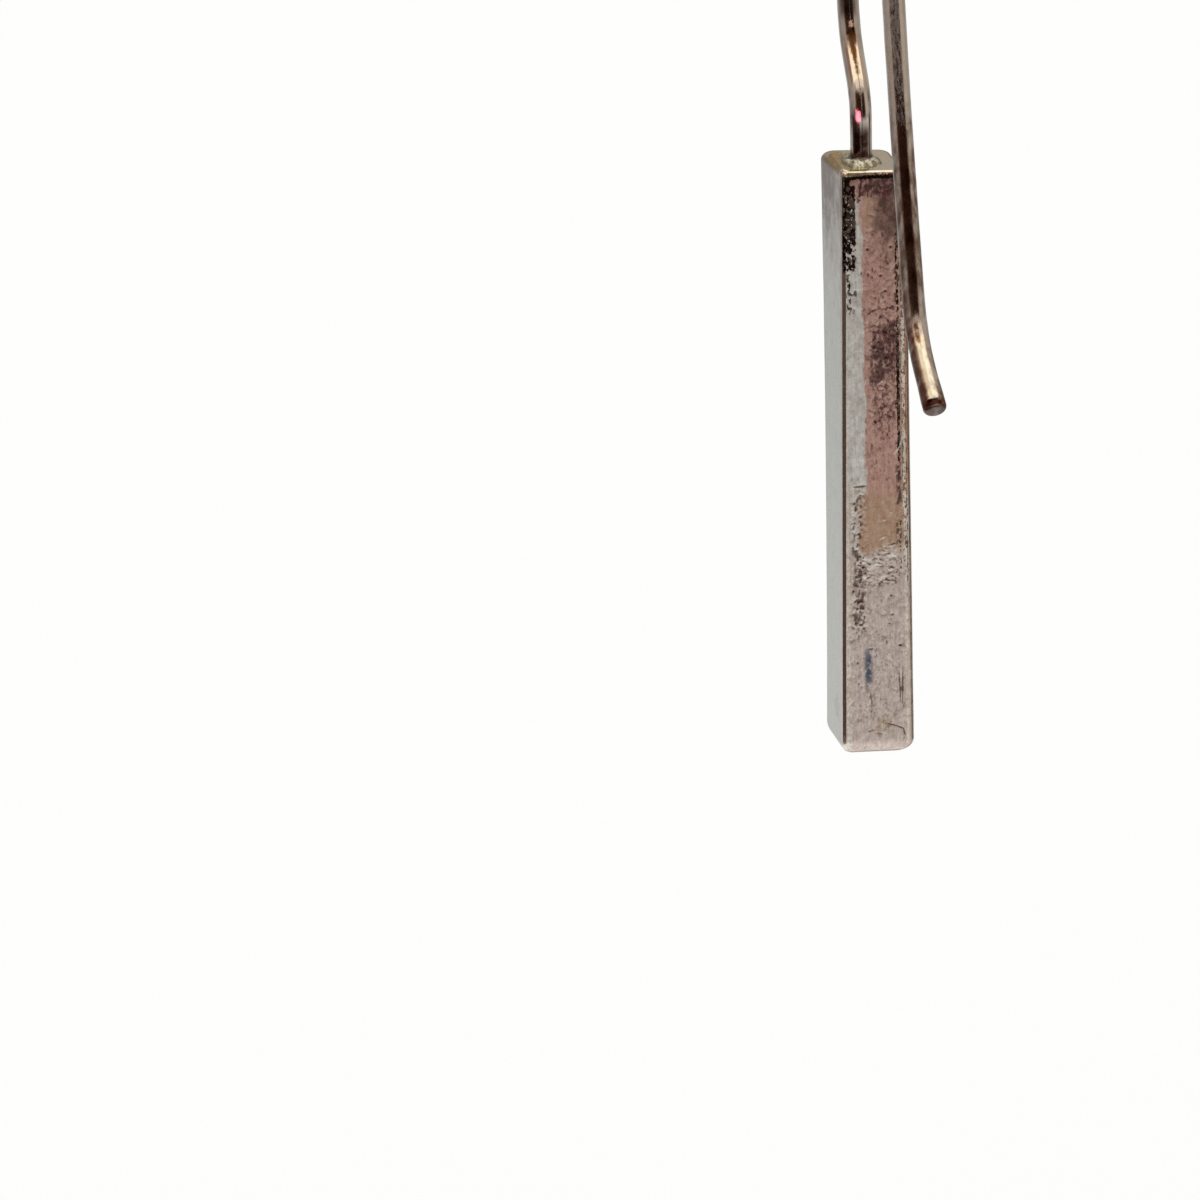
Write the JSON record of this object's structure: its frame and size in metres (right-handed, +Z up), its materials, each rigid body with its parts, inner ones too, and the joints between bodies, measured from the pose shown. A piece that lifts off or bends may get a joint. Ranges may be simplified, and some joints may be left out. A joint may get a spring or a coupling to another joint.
{
  "type": "bar earring",
  "caption": "Slim square bar drop of solid silver, soldered upright to the foot of a French hook ear wire with a flared tail.",
  "frame": {"origin": "inside of the hook's crown, at its highest point, where the earring hangs on the ear", "axes": "+Z up along the bar, -Y towards the back of the earring where the wire's tail hangs, X across the bar"},
  "size_m": [0.0032, 0.0137, 0.0399],
  "materials": {
    "silver": "polished silver, slightly tarnished and worn"
  },
  "bodies": {
    "root": {"soldered_earring": "silver"}
  },
  "joints": []
}
